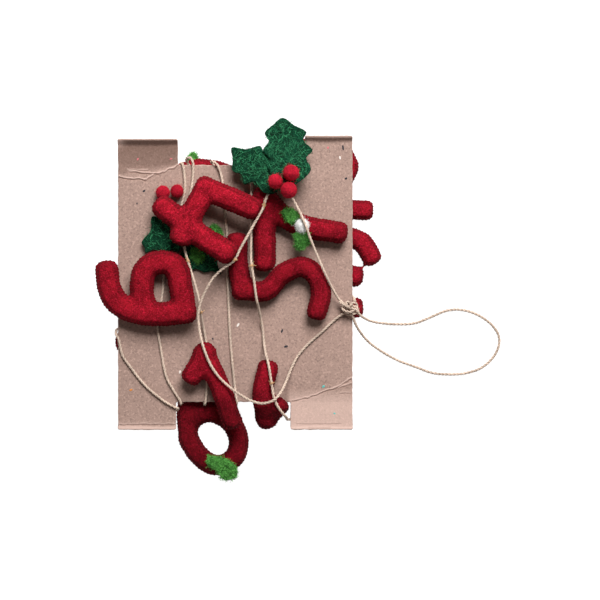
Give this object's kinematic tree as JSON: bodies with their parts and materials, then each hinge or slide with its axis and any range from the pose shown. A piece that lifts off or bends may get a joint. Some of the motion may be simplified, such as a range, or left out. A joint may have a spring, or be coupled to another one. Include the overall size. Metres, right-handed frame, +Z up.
{
  "type": "felt garland on a winding board",
  "caption": "Padded felt numerals, holly and mistletoe on twine, wound round a flat H-shaped board, with a bow across the front and a hanging loop.",
  "frame": {"origin": "on the surface it lies on, under the middle of the garland and board without the bow and the hanging loop", "axes": "+Z up through the board to the decorated face, +Y toward the top of the board, +X to the right"},
  "size_m": [0.3245, 0.2888, 0.0579],
  "materials": {
    "board": "matte",
    "red_felt": "matte",
    "holly_felt": "matte",
    "mistletoe_felt": "matte",
    "berry_wool": "matte",
    "white_wool": "matte",
    "twine": "matte"
  },
  "bodies": {
    "root": {"board": "board", "numeral_8": "red_felt", "numeral_0_upper": "red_felt", "numeral_3": "red_felt", "numeral_0_left": "red_felt", "numeral_1_right": "red_felt", "numeral_2": "red_felt", "numeral_1_middle": "red_felt", "numeral_6": "red_felt", "numeral_7": "red_felt", "numeral_5": "red_felt", "numeral_1_short": "red_felt", "numeral_1_long": "red_felt", "numeral_4": "red_felt", "numeral_9": "red_felt", "holly_upper_large_leaf": "holly_felt", "holly_upper_small_leaf": "holly_felt", "holly_lower_left_leaf": "holly_felt", "holly_lower_right_leaf": "holly_felt", "mistletoe_7_upper_leaf": "mistletoe_felt", "mistletoe_7_lower_leaf": "mistletoe_felt", "mistletoe_4_upper_leaf": "mistletoe_felt", "mistletoe_4_lower_leaf": "mistletoe_felt", "mistletoe_notch_leaf": "mistletoe_felt", "mistletoe_6_leaf": "mistletoe_felt", "holly_upper_berry_top": "berry_wool", "holly_upper_berry_left": "berry_wool", "holly_upper_berry_low": "berry_wool", "holly_lower_berry_left": "berry_wool", "holly_lower_berry_right": "berry_wool", "mistletoe_7_berry": "white_wool", "twine_knot": "twine", "twine_wound": "twine", "twine_bow": "twine", "twine_loop": "twine"}
  },
  "joints": []
}
